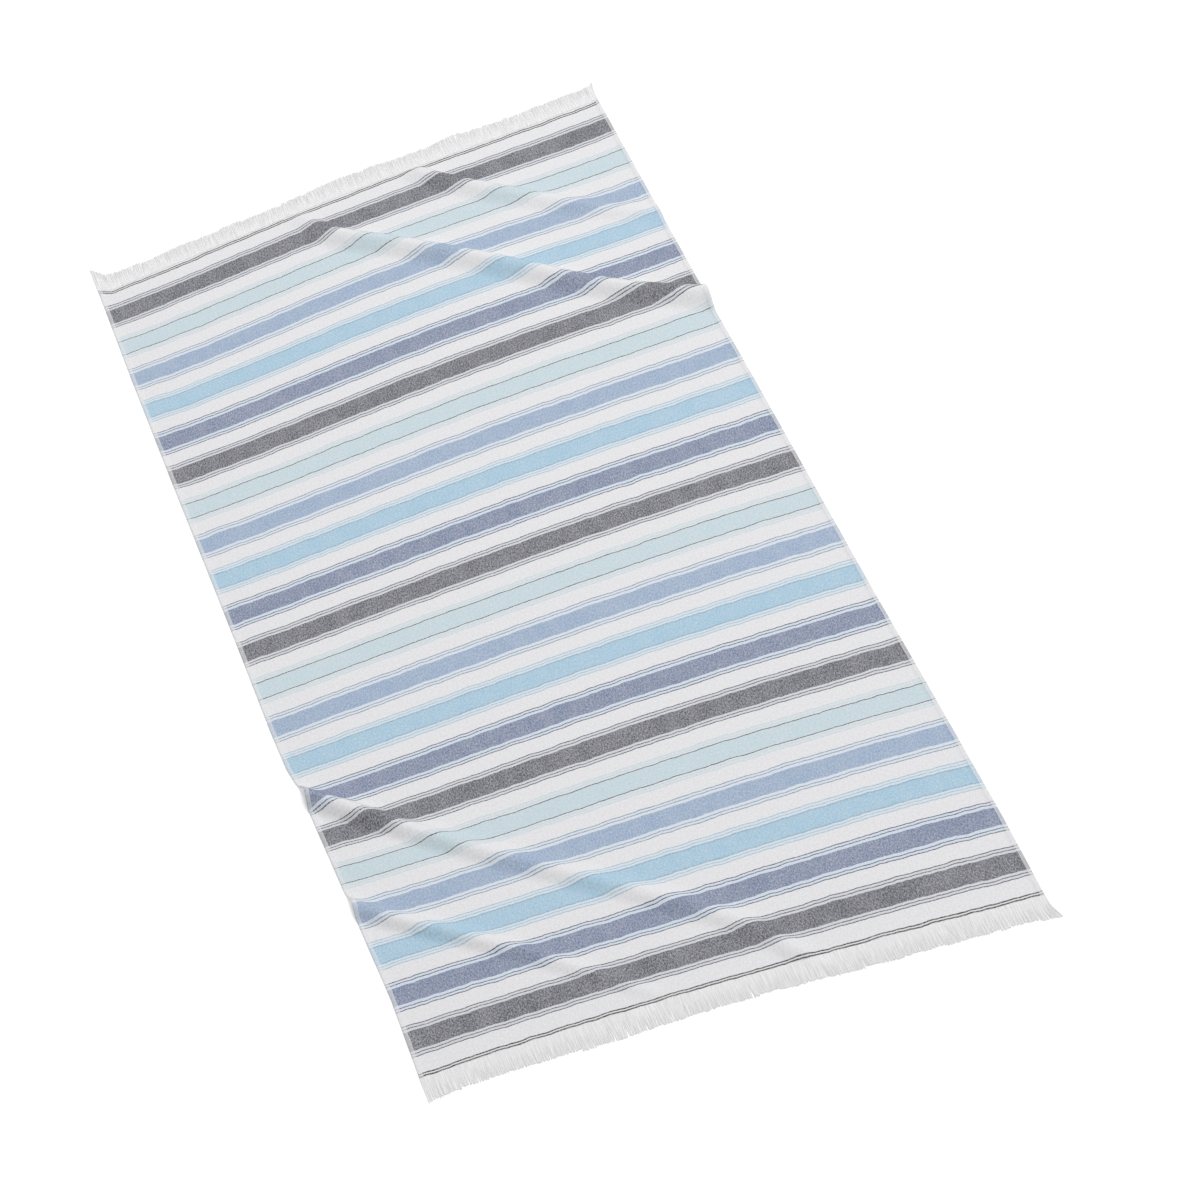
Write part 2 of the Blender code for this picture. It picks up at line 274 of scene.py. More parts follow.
def nearest_on_line(x, y, line):
    """For each point: its signed distance to the line, plus towards the far right, the
    line's own values there and the line's unit normal."""
    best = np.full(x.shape, np.inf)
    side = np.zeros_like(x)
    values = np.zeros((line.shape[1], *x.shape))
    normal_x = np.zeros_like(x)
    normal_y = np.zeros_like(x)
    for start, end in zip(line[:-1], line[1:]):
        run = end[:2] - start[:2]
        length = math.hypot(run[0], run[1])
        unit = run / length
        along = (x - start[0]) * unit[0] + (y - start[1]) * unit[1]
        share = np.clip(along / length, 0.0, 1.0)
        off_x = x - start[0] - share * run[0]
        off_y = y - start[1] - share * run[1]
        distance = np.hypot(off_x, off_y)
        nearer = distance < best
        across = -(x - start[0]) * unit[1] + (y - start[1]) * unit[0]
        best = np.where(nearer, distance, best)
        side = np.where(nearer, np.where(across < 0, -distance, distance), side)
        here = start[:, None] + share * (end - start)[:, None]
        values = np.where(nearer, here, values)
        normal_x = np.where(nearer, -unit[1], normal_x)
        normal_y = np.where(nearer, unit[0], normal_y)
    return side, dict(zip(CREST_COLUMNS, values)), normal_x, normal_y


def ridge(distance, near, far):
    """Height across a fold, 1 at its crest: a soft wave down to its near and far foot."""
    turn = np.clip(distance / np.where(distance < 0, near, far), -1.0, 1.0)
    return np.where(np.abs(turn) < 1.0, np.cos(0.5 * math.pi * turn) ** 2, 0.0)


CRESTS = [smooth_line(stations, CREST_STEPS) for stations in FOLDS.values()]


def eased(share):
    """A share from 0 to 1, eased in and out."""
    share = np.clip(share, 0.0, 1.0)
    return share * share * (3 - 2 * share)


def lay_level(x, y):
    """Where points of the flat cloth come to lie on the floor, before the folds."""
    table = dict(zip(LAY_COLUMNS, np.array(LAY_TABLE[::-1]).T))
    at = {name: np.interp(y, table["along"], table[name]) for name in LAY_COLUMNS[1:]}
    share = x / HALF_WIDTH
    laid_x = x + 0.5 * (1 - share) * at["left_edge"] + 0.5 * (1 + share) * at["right_edge"]
    # One smooth curve across the cloth through its five drawn places
    drawn = (1 - share**2) * (1 - 4 * share**2) * at["middle"]
    for side, outer, quarter in ((-1, "left", "left_quarter"), (1, "right", "right_quarter")):
        turned = side * share
        drawn = drawn + turned * (turned + 1) * (4 * share**2 - 1) / 6 * at[outer]
        drawn = drawn + 4 * turned * (2 * turned + 1) * (1 - share**2) / 3 * at[quarter]
    for row in CORNER_TUGS:
        tug = dict(zip(TUG_COLUMNS, row))
        near_side = eased((tug["side"] * x - HALF_WIDTH + tug["across"]) / tug["across"])
        near_end = eased((tug["end"] * y - HALF_LENGTH + tug["back"]) / tug["back"])
        drawn = drawn + tug["end"] * tug["drawn"] * near_side * near_end
    return laid_x - LAID_MIDDLE[0], y + drawn - LAID_MIDDLE[1]


def lay(x, y):
    """Where points of the flat cloth come to lie: X, Y and the height of its underside."""
    laid_x, laid_y = lay_level(x, y)
    height = np.zeros_like(x)
    fade = eased((HALF_LENGTH - np.abs(y)) / END_FADE)
    for crest in CRESTS:
        side, values, normal_x, normal_y = nearest_on_line(x, y, crest)
        lift = fade * values["rise"] * ridge(side, values["near"], values["far"])
        laid_x = laid_x + LEAN * lift * normal_x
        laid_y = laid_y + LEAN * lift * normal_y
        height = height + lift
    return laid_x, laid_y, height


def lay_normal(x, y):
    """The laid cloth's unit normal, from two short steps on the flat cloth."""
    right = np.subtract(lay(x + NORMAL_STEP, y), lay(x - NORMAL_STEP, y))
    up = np.subtract(lay(x, y + NORMAL_STEP), lay(x, y - NORMAL_STEP))
    normal = np.cross(right.T, up.T)
    return normal / np.linalg.norm(normal, axis=1)[:, None]


def net_places(half, edge_places):
    """Places across the cloth: close together near both edges, evenly spaced between."""
    inner = half - edge_places[-1]
    steps = round(2 * inner / NET_STEP)
    middle = [-inner + 2 * inner * k / steps for k in range(1, steps)]
    low_edge = [edge - half for edge in edge_places]
    high_edge = [half - edge for edge in edge_places[::-1]]
    return np.array(low_edge + middle + high_edge)


def cloth_faces(x, y):
    """Heights of the two faces over the laid underside: a rolled edge, the doubled hem
    with its row of stitches pressed in, then the single cloth."""
    from_side = HALF_WIDTH - np.abs(x)
    from_end = HALF_LENGTH - np.abs(y)
    in_hem = eased((HEM_WIDTH + HEM_STEP - from_side) / HEM_STEP)
    dip = SEAM_DIP * np.exp(-(((from_side - SEAM_PLACE) / SEAM_SOFTNESS) ** 2))
    top = CLOTH_THICK + (HEM_THICK - CLOTH_THICK) * in_hem - dip
    rolled = np.sqrt(np.clip(1 - (1 - np.clip(from_side / ROLLED_EDGE, 0, 1)) ** 2, 0, 1))
    thinned = END_THICK_SHARE + (1 - END_THICK_SHARE) * eased(from_end / END_PLACES[-1])
    middle = 0.5 * HEM_THICK
    under = np.where(from_side < ROLLED_EDGE, middle * (1 - rolled), 0.0)
    top = np.where(from_side < ROLLED_EDGE, middle + (top - middle) * rolled, top)
    return under, top * thinned


def build_cloth():
    """One closed sheet: the flat net, doubled, then laid over the floor and the folds."""
    columns = net_places(HALF_WIDTH, SIDE_PLACES)
    rows = net_places(HALF_LENGTH, END_PLACES)
    x, y = (grid.ravel() for grid in np.meshgrid(columns, rows))
    laid = np.stack(lay(x, y), axis=1)
    normal = lay_normal(x, y)
    under, top = cloth_faces(x, y)
    places = np.vstack([laid + normal * top[:, None], laid + normal * under[:, None]])
    wide, long = len(columns), len(rows)
    each = wide * long
    number = np.arange(each).reshape(long, wide)
    corners = [number[:-1, :-1], number[:-1, 1:], number[1:, 1:], number[1:, :-1]]
    upper = np.stack([corner.ravel() for corner in corners], axis=1)
    lower = upper[:, ::-1] + each
    rim = np.concatenate([number[0, :-1], number[:-1, -1], number[-1, :0:-1], number[:0:-1, 0]])
    onward = np.roll(rim, -1)
    wall = np.stack([rim, rim + each, onward + each, onward], axis=1)
    faces = np.vstack([upper, lower, wall])
    mesh = bpy.data.meshes.new("cloth")
    mesh.from_pydata(places.tolist(), [], faces.tolist())
    mesh.shade_smooth()
    flat_map = mesh.uv_layers.new(name="flat_cloth")
    flat = np.tile(np.stack([x, y], axis=1), (2, 1))
    loop_points = np.zeros(len(mesh.loops), int)
    mesh.loops.foreach_get("vertex_index", loop_points)
    flat_map.uv.foreach_set("vector", flat[loop_points].astype(np.float32).ravel())
    cloth = bpy.data.objects.new("cloth", mesh)
    bpy.context.scene.collection.objects.link(cloth)
    return cloth


# Yarns by the screen colour that they show in full light, 0 to 255. Coloured wefts are
# seen through the white warp, which covers part of them.
WARP_SHARE = 0.22
FULL_LIGHT = 1.05
YARNS = {
    "white": (230, 230, 232),
    "charcoal": (134, 134, 140),
    "charcoal_gap": (214, 215, 222),
    "charcoal_line": (44, 44, 60),
    "aqua": (203, 218, 224),
    "aqua_line": (62, 75, 84),
    "aqua_gap": (219, 226, 230),
    "aqua_faint": (205, 216, 222),
    "periwinkle": (167, 183, 205),
    "periwinkle_gap": (218, 225, 233),
    "periwinkle_line": (153, 165, 181),
    "sky": (176, 204, 222),
    "sky_edge": (166, 188, 204),
    "sky_gap": (216, 226, 234),
    "sky_line": (178, 198, 211),
    "slate": (147, 155, 176),
    "slate_gap": (213, 222, 233),
    "slate_line": (103, 109, 129),
    "end_line": (66, 64, 98),
}

# The weaver's plan of one stripe, for each colour. Each row is one yarn, from the
# stripe's middle outwards, with the distance in millimetres at which it ends.
MILLIMETRE = 0.001
STRIPE_PITCH = 0.0794
STRIPE_PLAN = {
    "charcoal": (
        (16.3, "charcoal"),
        (20.1, "charcoal_gap"),
        (21.6, "charcoal_line"),
        (25.1, "charcoal_gap"),
        (26.7, "charcoal_line"),
        (39.7, "white"),
    ),
    "aqua": (
        (15.5, "aqua"),
        (17.0, "aqua_line"),
        (20.3, "aqua_gap"),
        (21.6, "aqua_faint"),
        (25.2, "aqua_gap"),
        (26.6, "aqua_faint"),
        (39.7, "white"),
    ),
    "periwinkle": (
        (15.4, "periwinkle"),
        (20.1, "periwinkle_gap"),
        (21.6, "periwinkle_line"),
        (25.1, "periwinkle_gap"),
        (26.7, "periwinkle_line"),
        (39.7, "white"),
    ),
    "sky": (
        (14.2, "sky"),
        (16.8, "sky_edge"),
        (20.1, "sky_gap"),
        (21.6, "sky_line"),
        (25.1, "sky_gap"),
        (26.7, "sky_line"),
        (39.7, "white"),
    ),
    "slate": (
        (15.5, "slate"),
        (20.1, "slate_gap"),
        (21.6, "slate_line"),
        (25.1, "slate_gap"),
        (26.7, "slate_line"),
        (39.7, "white"),
    ),
}
STRIPES_EACH_SIDE = 10
PICK_BLUR = 0.3
END_LINES = (0.8475, 0.8517, -0.8504, -0.8547)
END_LINE_WIDTH = 0.0023

# The turned hem shows the back of the cloth, where the wefts are paler
HEM_PALING = 0.5

# How unevenly the cloth is woven. Each row is one kind of unevenness: its grains to the
# metre across and along, its detail, its roughness and how far it swings in all. The
# wefts swing in metres, and the warp swings in the share of the wefts that it covers.
WEFT_SWINGS = (
    ((24.0, 10.0), 1.0, 0.5, 0.0038),
    ((80.0, 45.0), 1.0, 0.5, 0.0019),
)
WARP_SWINGS = (
    ((440.0, 250.0), 2.0, 0.6, 0.85),
    ((640.0, 600.0), 1.0, 0.5, 0.70),
    ((38.0, 22.0), 2.0, 0.5, 0.18),
)
SHADE_GRAINS = (300.0, 260.0)
SHADE_RANGE = (0.915, 1.145)

# The weave's own repeat, and its relief and that of the pucker in millimetres
WEAVE_REPEAT = 0.0014
WEAVE_RELIEF = 0.06
PUCKER_GRAINS = (120.0, 70.0)
PUCKER_RELIEF = 0.55


def seen_colour(yarn):
    """The base colour that shows as a yarn's screen colour in this light."""
    shares = [part / 255 for part in YARNS[yarn]]
    return [((part + 0.055) / 1.055) ** 2.4 / FULL_LIGHT for part in shares]


def weft_colour(yarn):
    """A weft's own colour, before the white warp covers its share."""
    pairs = zip(seen_colour(yarn), seen_colour("white"))
    return [max(0.0, (seen - WARP_SHARE * white) / (1 - WARP_SHARE)) for seen, white in pairs]


def sum_node(tree, operation, *values):
    """A math node on sockets and plain numbers."""
    made = tree.nodes.new("ShaderNodeMath")
    made.operation = operation
    for socket, value in zip(made.inputs, values):
        if isinstance(value, (int, float)):
            socket.default_value = value
        else:
            tree.links.new(value, socket)
    return made.outputs[0]


def blend_node(tree, share, first, second, way="MIX"):
    """A colour mix of sockets or plain colours."""
    made = tree.nodes.new("ShaderNodeMix")
    made.data_type = "RGBA"
    made.blend_type = way
    for name, value in (("Factor_Float", share), ("A_Color", first), ("B_Color", second)):
        socket = next(s for s in made.inputs if s.identifier == name)
        if isinstance(value, (int, float)):
            socket.default_value = value
        elif isinstance(value, (list, tuple)):
            socket.default_value = (*value, 1.0)
        else:
            tree.links.new(value, socket)
    return next(s for s in made.outputs if s.identifier == "Result_Color")


def noise_node(tree, place, stretch, detail=2.0, roughness=0.5):
    """Noise over the flat cloth, with so many grains to the metre across and along."""
    turned = tree.nodes.new("ShaderNodeMapping")
    turned.inputs["Scale"].default_value = (*stretch, 1.0)
    tree.links.new(place, turned.inputs["Vector"])
    made = tree.nodes.new("ShaderNodeTexNoise")
    made.noise_dimensions = "2D"
    made.inputs["Scale"].default_value = 1.0
    made.inputs["Detail"].default_value = detail
    made.inputs["Roughness"].default_value = roughness
    tree.links.new(turned.outputs["Vector"], made.inputs["Vector"])
    return made.outputs["Fac"]


def uneven_value(tree, place, value, swings):
    """A value that swings unevenly over the flat cloth."""
    for grains, detail, roughness, swing in swings:
        noise = noise_node(tree, place, grains, detail, roughness)
        swung = sum_node(tree, "MULTIPLY", sum_node(tree, "SUBTRACT", noise, 0.5), swing)
        value = sum_node(tree, "ADD", value, swung)
    return value


def plan_ramp(tree, plan, distance):
    """The stripe plan as a colour ramp over the distance from the stripe's middle."""
    made = tree.nodes.new("ShaderNodeValToRGB")
    ramp = made.color_ramp
    reach = plan[-1][0]
    stops = [(0.0, plan[0][1])]
    for (edge, yarn), (_, following) in zip(plan[:-1], plan[1:]):
        stops += [(edge, yarn), (edge + PICK_BLUR, following)]
    ramp.elements[0].color = (*weft_colour(stops[0][1]), 1.0)
    ramp.elements[1].color = (*weft_colour(plan[-1][1]), 1.0)
    for place, yarn in stops[1:]:
        ramp.elements.new(place / reach).color = (*weft_colour(yarn), 1.0)
    share = sum_node(tree, "DIVIDE", distance, reach * MILLIMETRE)
    tree.links.new(share, made.inputs["Fac"])
    return made.outputs["Color"]


def woven_stripes():
    """White warp over coloured wefts, read from the flat cloth's own map."""
    finish, tree, shader = new_finish("woven_stripes", 0.85, sheen=0.12)
    flat_map = tree.nodes.new("ShaderNodeUVMap")
    flat_map.uv_map = "flat_cloth"
    flat = flat_map.outputs["UV"]
    split = tree.nodes.new("ShaderNodeSeparateXYZ")
    tree.links.new(flat, split.inputs["Vector"])
    across, along = split.outputs["X"], split.outputs["Y"]

    # Wefts never lie quite straight: each stripe wanders by a millimetre or so
    wefted = uneven_value(tree, flat, along, WEFT_SWINGS)

    number = sum_node(tree, "ROUND", sum_node(tree, "DIVIDE", wefted, STRIPE_PITCH))
    number = sum_node(tree, "MINIMUM", number, STRIPES_EACH_SIDE)
    number = sum_node(tree, "MAXIMUM", number, -STRIPES_EACH_SIDE)
    centre = sum_node(tree, "MULTIPLY", number, STRIPE_PITCH)
    distance = sum_node(tree, "ABSOLUTE", sum_node(tree, "SUBTRACT", wefted, centre))
    from_far_end = sum_node(tree, "SUBTRACT", STRIPES_EACH_SIDE, number)
    order = sum_node(tree, "MODULO", from_far_end, len(STRIPE_PLAN))
    colour = weft_colour("white")
    for place, plan in enumerate(STRIPE_PLAN.values()):
        chosen = sum_node(tree, "COMPARE", order, place, 0.5)
        colour = blend_node(tree, chosen, colour, plan_ramp(tree, plan, distance))

    # The doubled dark picks at both ends
    for line in END_LINES:
        on_line = sum_node(tree, "COMPARE", wefted, line, 0.5 * END_LINE_WIDTH)
        colour = blend_node(tree, on_line, colour, weft_colour("end_line"))

    from_side = sum_node(tree, "SUBTRACT", HALF_WIDTH, sum_node(tree, "ABSOLUTE", across))
    in_hem = sum_node(tree, "LESS_THAN", from_side, HEM_WIDTH)
    paling = sum_node(tree, "MULTIPLY", in_hem, HEM_PALING)
    colour = blend_node(tree, paling, colour, weft_colour("white"))

    # The warp lies over the wefts in fine uneven streaks
    warp = uneven_value(tree, flat, WARP_SHARE, WARP_SWINGS)
    colour = blend_node(tree, warp, colour, seen_colour("white"))
    shade = tree.nodes.new("ShaderNodeMapRange")
    for name, value in zip(("To Min", "To Max"), SHADE_RANGE):
        shade.inputs[name].default_value = value
    tree.links.new(noise_node(tree, flat, SHADE_GRAINS), shade.inputs["Value"])
    grey = tree.nodes.new("ShaderNodeCombineColor")
    for name in ("Red", "Green", "Blue"):
        tree.links.new(shade.outputs["Result"], grey.inputs[name])
    colour = blend_node(tree, 1.0, colour, grey.outputs["Color"], way="MULTIPLY")
    tree.links.new(colour, shader.inputs["Base Color"])

    # Relief: the plain weave itself, and the slight pucker of washed cotton
    over = sum_node(tree, "SINE", sum_node(tree, "MULTIPLY", across, math.tau / WEAVE_REPEAT))
    under = sum_node(tree, "SINE", sum_node(tree, "MULTIPLY", along, math.tau / WEAVE_REPEAT))
    weave = sum_node(tree, "MULTIPLY", sum_node(tree, "MULTIPLY", over, under), WEAVE_RELIEF)
    pucker = sum_node(tree, "MULTIPLY", noise_node(tree, flat, PUCKER_GRAINS), PUCKER_RELIEF)
    relief = sum_node(tree, "ADD", weave, pucker)
    bump = tree.nodes.new("ShaderNodeBump")
    bump.inputs["Distance"].default_value = MILLIMETRE
    tree.links.new(relief, bump.inputs["Height"])
    tree.links.new(bump.outputs["Normal"], shader.inputs["Normal"])
    return finish


cloth = build_cloth()
cloth.data.materials.append(woven_stripes())
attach(cloth, "root")
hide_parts("towel_cloth")

# ---------------------------------------------------------------------------------------
# The hem stitches
# One row of white sewing thread down each side, through the turned hem. The machine
# pulls each stitch a little into the cloth at both of its ends.
# ---------------------------------------------------------------------------------------
STITCH_PITCH = 0.0034
STITCH_LENGTH = 0.0029
THREAD_RADIUS = 0.00030
THREAD_COLOUR = (0.84, 0.84, 0.85)
STITCH_SIDES = 6
STITCH_RINGS = 5
SEAM_STEPS = 260
SEAM_END = 0.0045


def tree_input(tree, name, kind, value):
    """A named input of a geometry tree with its usual value."""
    made = tree.interface.new_socket(name=name, in_out="INPUT", socket_type=kind)
    if value is not None:
        made.default_value = value
    return made.identifier


def grown(name, seed_mesh, tree, values):
    """The plain mesh that a geometry tree makes from a mesh."""
    starter = bpy.data.objects.new(f"{name}_starter", seed_mesh)
    bpy.context.scene.collection.objects.link(starter)
    growth = starter.modifiers.new("growth", "NODES")
    growth.node_group = tree
    for identifier, value in values.items():
        growth[identifier] = value
    bpy.context.view_layer.update()
    evaluated = starter.evaluated_get(bpy.context.evaluated_depsgraph_get())
    mesh = bpy.data.meshes.new_from_object(evaluated)
    starter.modifiers.remove(growth)
    bpy.data.objects.remove(starter)
    mesh.name = name
    made = bpy.data.objects.new(name, mesh)
    bpy.context.scene.collection.objects.link(made)
    return made


def sewing_thread():
    """White cotton-covered thread, a little brighter than the cloth."""
    finish, _, shader = new_finish("sewing_thread", 0.55, sheen=0.1)
    shader.inputs["Base Color"].default_value = (*THREAD_COLOUR, 1.0)
    return finish


def seam_line():
    """The two lines that the needle followed, on top of the laid hems."""
    places, runs = [], []
    for side in (-1, 1):
        y = np.linspace(SEAM_END - HALF_LENGTH, HALF_LENGTH - SEAM_END, SEAM_STEPS)
        x = np.full_like(y, side * (HALF_WIDTH - SEAM_PLACE))
        top = cloth_faces(x, y)[1]
        on_top = np.stack(lay(x, y), axis=1) + lay_normal(x, y) * top[:, None]
        first = len(places)
        places += on_top.tolist()
        runs += [(k, k + 1) for k in range(first, first + SEAM_STEPS - 1)]
    mesh = bpy.data.meshes.new("seam_line")
    mesh.from_pydata(places, runs, [])
    return mesh


def stitch_tree():
    """Sets one stitch after another along the needle's line."""
    tree = bpy.data.node_groups.new("hem_stitches", "GeometryNodeTree")
    inputs = {"Seam": tree_input(tree, "Seam", "NodeSocketGeometry", None)}
    inputs["Pitch"] = tree_input(tree, "Pitch", "NodeSocketFloat", STITCH_PITCH)
    inputs["Size"] = tree_input(tree, "Size", "NodeSocketVector", None)
    inputs["Thread"] = tree_input(tree, "Thread", "NodeSocketMaterial", None)
    tree.interface.new_socket(name="Stitches", in_out="OUTPUT", socket_type="NodeSocketGeometry")
    nodes, links = tree.nodes, tree.links
    given = nodes.new("NodeGroupInput")
    done = nodes.new("NodeGroupOutput")
    needle_line = nodes.new("GeometryNodeMeshToCurve")
    links.new(given.outputs["Seam"], needle_line.inputs["Mesh"])
    spaced = nodes.new("GeometryNodeResampleCurve")
    spaced.mode = "LENGTH"
    links.new(needle_line.outputs["Curve"], spaced.inputs["Curve"])
    links.new(given.outputs["Pitch"], spaced.inputs["Length"])
    bead = nodes.new("GeometryNodeMeshUVSphere")
    bead.inputs["Segments"].default_value = STITCH_SIDES
    bead.inputs["Rings"].default_value = STITCH_RINGS
    stitch = nodes.new("GeometryNodeTransform")
    links.new(bead.outputs["Mesh"], stitch.inputs["Geometry"])
    links.new(given.outputs["Size"], stitch.inputs["Scale"])
    along_seam = nodes.new("FunctionNodeAlignRotationToVector")
    along_seam.axis = "X"
    tangent = nodes.new("GeometryNodeInputTangent")
    links.new(tangent.outputs["Tangent"], along_seam.inputs["Vector"])
    sewn = nodes.new("GeometryNodeInstanceOnPoints")
    links.new(spaced.outputs["Curve"], sewn.inputs["Points"])
    links.new(stitch.outputs["Geometry"], sewn.inputs["Instance"])
    links.new(along_seam.outputs["Rotation"], sewn.inputs["Rotation"])
    real = nodes.new("GeometryNodeRealizeInstances")
    links.new(sewn.outputs["Instances"], real.inputs["Geometry"])
    smooth = nodes.new("GeometryNodeSetShadeSmooth")
    links.new(real.outputs["Geometry"], smooth.inputs["Geometry"])
    finished = nodes.new("GeometryNodeSetMaterial")
    links.new(smooth.outputs["Geometry"], finished.inputs["Geometry"])
    links.new(given.outputs["Thread"], finished.inputs["Material"])
    links.new(finished.outputs["Geometry"], done.inputs["Stitches"])
    return tree, inputs


seam_tree, seam_inputs = stitch_tree()
stitch_size = (0.5 * STITCH_LENGTH, THREAD_RADIUS, THREAD_RADIUS)
seam_values = {seam_inputs["Size"]: stitch_size, seam_inputs["Thread"]: sewing_thread()}
stitches = grown("hem_stitches", seam_line(), seam_tree, seam_values)
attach(stitches, "root")

# ---------------------------------------------------------------------------------------
# The two fringes
# The warp yarns run on past the last weft and are cut off short. They lie on the floor,
# close together, and have gathered into small uneven locks that part at their tips.
# ---------------------------------------------------------------------------------------
YARNS_EACH_END = 660
YARN_RADIUS = 0.00105
YARN_TIP_SHARE = 0.72
YARN_SIDES = 6
YARN_POINTS = 9
YARN_ROOT = 0.0010
ROOT_HEIGHT = 0.7 * CLOTH_THICK
TIP_HEIGHTS = (1.0, 1.8)

# How the yarns gather into locks: the fewest and the most yarns in one, the share by
# which each is drawn to its lock's middle, and how uneven locks and single yarns are
LOCK_YARNS = (5, 22)
LOCK_DRAW = 0.035
LOCK_LENGTH_SPREAD = 0.0016
LOCK_DRIFT = 0.0005
YARN_LENGTH_SPREAD = 0.0012
YARN_DRIFT = 0.0004
YARN_WAVINESS = 0.0009
YARN_WAVES = 95.0
WAVE_WAYS = (2.0, 2.0, 0.6)
YARN_GRAINS = (520.0, 32.0)
YARN_SHADES = ([0.70, 0.70, 0.70], [0.95, 0.95, 0.95])
FRINGE_SEED = {"far": 7, "near": 8}

# How far the cut tips reach past the cloth's end, and how far they flare to the right.
# Each row is one place across the towel.
TIP_COLUMNS = ("across", "reach", "flare")
FRINGE_TIPS = {
    "far": (
        (-0.508, 0.048, 0.000),
        (-0.490, 0.039, 0.000),
        (-0.460, 0.032, 0.000),
        (-0.300, 0.034, 0.000),
        (-0.140, 0.032, 0.000),
        (-0.060, 0.038, 0.000),
        (0.060, 0.039, 0.000),
        (0.140, 0.034, 0.000),
        (0.220, 0.041, 0.000),
        (0.320, 0.035, 0.000),
        (0.380, 0.038, 0.000),
        (0.480, 0.038, 0.000),
        (0.508, 0.039, 0.008),
    ),
    "near": (
        (-0.508, 0.039, -0.001),
        (-0.460, 0.033, 0.000),
        (-0.300, 0.035, 0.000),
        (-0.220, 0.038, 0.000),
        (-0.130, 0.037, 0.000),
        (-0.060, 0.035, 0.000),
        (0.060, 0.034, 0.000),
        (0.140, 0.037, 0.000),
        (0.260, 0.037, 0.000),
        (0.340, 0.036, 0.000),
        (0.470, 0.036, 0.000),
        (0.490, 0.038, 0.003),
        (0.508, 0.040, 0.010),
    ),
}


def cotton_yarn():
    """Soft white cotton yarn, a little uneven from one yarn to the next."""
    finish, tree, shader = new_finish("cotton_yarn", 0.9, sheen=0.15)
    place = tree.nodes.new("ShaderNodeTexCoord")
    mottle = noise_node(tree, place.outputs["Object"], YARN_GRAINS, detail=1.0)
    tree.links.new(blend_node(tree, mottle, *YARN_SHADES), shader.inputs["Base Color"])
    return finish


def yarn_roots(end):
    """A bare point at each yarn's root, which carries where that yarn's tip lies."""
    rng = random.Random(FRINGE_SEED[end])
    sign = 1 if end == "far" else -1
    pitch = CLOTH_WIDTH / YARNS_EACH_END
    table = dict(zip(TIP_COLUMNS, np.array(FRINGE_TIPS[end]).T))
    roots, runs, drifts = [], [], []
    left_in_lock = 0
    for i in range(YARNS_EACH_END):
        x = -HALF_WIDTH + (i + 0.5) * pitch
        if left_in_lock == 0:
            left_in_lock = rng.randint(*LOCK_YARNS)
            lock_middle = x + 0.5 * (left_in_lock - 1) * pitch
            lock_longer = LOCK_LENGTH_SPREAD * rng.uniform(-1, 1)
            lock_drift = LOCK_DRIFT * rng.gauss(0, 1)
        left_in_lock -= 1
        reach = np.interp(x, table["across"], table["reach"]) + lock_longer
        reach += YARN_LENGTH_SPREAD * rng.uniform(-1, 1)
        drift = LOCK_DRAW * (lock_middle - x) + lock_drift + YARN_DRIFT * rng.gauss(0, 1)
        drift += np.interp(x, table["across"], table["flare"])
        root_x, root_y = lay_level(x, sign * (HALF_LENGTH - YARN_ROOT))
        end_x, end_y = lay_level(x, sign * (HALF_LENGTH + reach))
        end_height = YARN_RADIUS * rng.uniform(*TIP_HEIGHTS)
        roots.append((float(root_x), float(root_y), ROOT_HEIGHT))
        runs.append((float(end_x - root_x), float(end_y - root_y), end_height - ROOT_HEIGHT))
        drifts.append((float(drift), 0.0, 0.0))
    mesh = bpy.data.meshes.new(f"roots_{end}")
    mesh.from_pydata(roots, [], [])
    for name, vectors in (("run", runs), ("drift", drifts)):
        carried = mesh.attributes.new(name, "FLOAT_VECTOR", "POINT")
        carried.data.foreach_set("vector", np.array(vectors, np.float32).ravel())
    return mesh


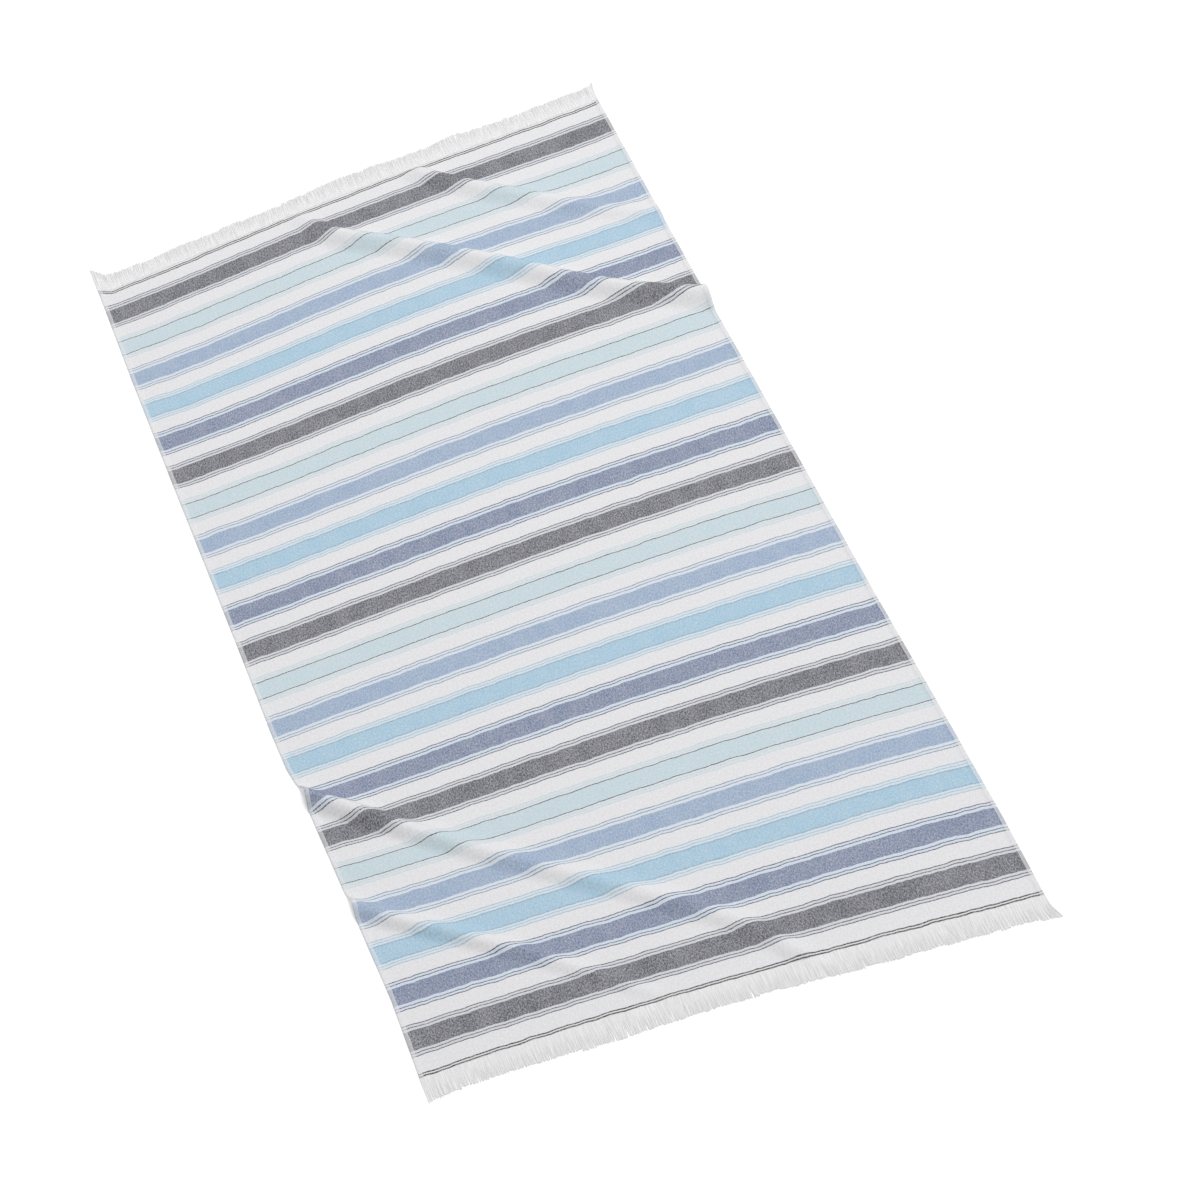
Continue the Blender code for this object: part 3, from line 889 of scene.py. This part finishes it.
def yarn_tree():
    """Turns each root point into one slightly wavy yarn that runs to its tip."""
    tree = bpy.data.node_groups.new("fringe_yarns", "GeometryNodeTree")
    inputs = {"Roots": tree_input(tree, "Roots", "NodeSocketGeometry", None)}
    inputs["Radius"] = tree_input(tree, "Radius", "NodeSocketFloat", YARN_RADIUS)
    inputs["Sides"] = tree_input(tree, "Sides", "NodeSocketInt", YARN_SIDES)
    inputs["Points"] = tree_input(tree, "Points", "NodeSocketInt", YARN_POINTS)
    inputs["Waviness"] = tree_input(tree, "Waviness", "NodeSocketFloat", YARN_WAVINESS)
    inputs["Waves"] = tree_input(tree, "Waves", "NodeSocketFloat", YARN_WAVES)
    inputs["Finish"] = tree_input(tree, "Finish", "NodeSocketMaterial", None)
    tree.interface.new_socket(name="Yarns", in_out="OUTPUT", socket_type="NodeSocketGeometry")
    nodes, links = tree.nodes, tree.links
    given = nodes.new("NodeGroupInput")
    done = nodes.new("NodeGroupOutput")

    def vector_sum(operation, *values):
        made = nodes.new("ShaderNodeVectorMath")
        made.operation = operation
        for socket, value in zip(made.inputs, values):
            if isinstance(value, tuple):
                socket.default_value = value
            else:
                links.new(value, socket)
        return made.outputs[0]

    def scaled(vector, size):
        made = nodes.new("ShaderNodeVectorMath")
        made.operation = "SCALE"
        links.new(vector, made.inputs[0])
        links.new(size, made.inputs["Scale"])
        return made.outputs[0]

    def power(value, exponent):
        made = nodes.new("ShaderNodeMath")
        made.operation = "POWER"
        links.new(value, made.inputs[0])
        made.inputs[1].default_value = exponent
        return made.outputs[0]

    # Each root hands its place, its run and its drift on to all the points of its yarn
    kept = nodes.new("GeometryNodeCaptureAttribute")
    links.new(given.outputs["Roots"], kept.inputs["Geometry"])
    kept.capture_items.new("VECTOR", "Root")
    root = nodes.new("GeometryNodeInputPosition")
    links.new(root.outputs["Position"], kept.inputs["Root"])
    for name in ("Run", "Drift"):
        kept.capture_items.new("VECTOR", name)
        carried = nodes.new("GeometryNodeInputNamedAttribute")
        carried.data_type = "FLOAT_VECTOR"
        carried.inputs["Name"].default_value = name.lower()
        links.new(carried.outputs["Attribute"], kept.inputs[name])

    line = nodes.new("GeometryNodeCurvePrimitiveLine")
    points = nodes.new("GeometryNodeResampleCurve")
    links.new(line.outputs["Curve"], points.inputs["Curve"])
    links.new(given.outputs["Points"], points.inputs["Count"])
    placed = nodes.new("GeometryNodeInstanceOnPoints")
    links.new(kept.outputs["Geometry"], placed.inputs["Points"])
    links.new(points.outputs["Curve"], placed.inputs["Instance"])
    real = nodes.new("GeometryNodeRealizeInstances")
    links.new(placed.outputs["Instances"], real.inputs["Geometry"])

    # Along its run at an even pace, with the drift growing towards the tip
    share = nodes.new("GeometryNodeSplineParameter").outputs["Factor"]
    share_squared = power(share, 2.0)
    run_place = vector_sum(
        "ADD",
        vector_sum("ADD", kept.outputs["Root"], scaled(kept.outputs["Run"], share)),
        scaled(kept.outputs["Drift"], share_squared),
    )
    wave = nodes.new("ShaderNodeTexNoise")
    wave.noise_dimensions = "3D"
    wave.inputs["Scale"].default_value = 1.0
    wave.inputs["Detail"].default_value = 1.0
    links.new(scaled(run_place, given.outputs["Waves"]), wave.inputs["Vector"])
    centred = vector_sum("SUBTRACT", wave.outputs["Color"], (0.5, 0.5, 0.5))
    level_wave = vector_sum("MULTIPLY", centred, WAVE_WAYS)
    wandering = scaled(scaled(level_wave, given.outputs["Waviness"]), share)
    settled = nodes.new("GeometryNodeSetPosition")
    links.new(real.outputs["Geometry"], settled.inputs["Geometry"])
    links.new(run_place, settled.inputs["Position"])
    links.new(wandering, settled.inputs["Offset"])

    ring = nodes.new("GeometryNodeCurvePrimitiveCircle")
    links.new(given.outputs["Sides"], ring.inputs["Resolution"])
    links.new(given.outputs["Radius"], ring.inputs["Radius"])
    thinned = nodes.new("ShaderNodeMapRange")
    thinned.inputs["To Min"].default_value = 1.0
    thinned.inputs["To Max"].default_value = YARN_TIP_SHARE
    links.new(share, thinned.inputs["Value"])
    tube = nodes.new("GeometryNodeCurveToMesh")
    tube.inputs["Fill Caps"].default_value = True
    links.new(settled.outputs["Geometry"], tube.inputs["Curve"])
    links.new(ring.outputs["Curve"], tube.inputs["Profile Curve"])
    links.new(thinned.outputs["Result"], tube.inputs["Scale"])
    smooth = nodes.new("GeometryNodeSetShadeSmooth")
    links.new(tube.outputs["Mesh"], smooth.inputs["Geometry"])
    finished = nodes.new("GeometryNodeSetMaterial")
    links.new(smooth.outputs["Geometry"], finished.inputs["Geometry"])
    links.new(given.outputs["Finish"], finished.inputs["Material"])
    links.new(finished.outputs["Geometry"], done.inputs["Yarns"])
    return tree, inputs


yarn_finish = cotton_yarn()
fringe_tree, fringe_inputs = yarn_tree()
fringe_values = {fringe_inputs["Finish"]: yarn_finish}
for end in ("far", "near"):
    fringe = grown(f"yarns_{end}", yarn_roots(end), fringe_tree, fringe_values)
    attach(fringe, "root")
    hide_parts(f"fringe_{end}")
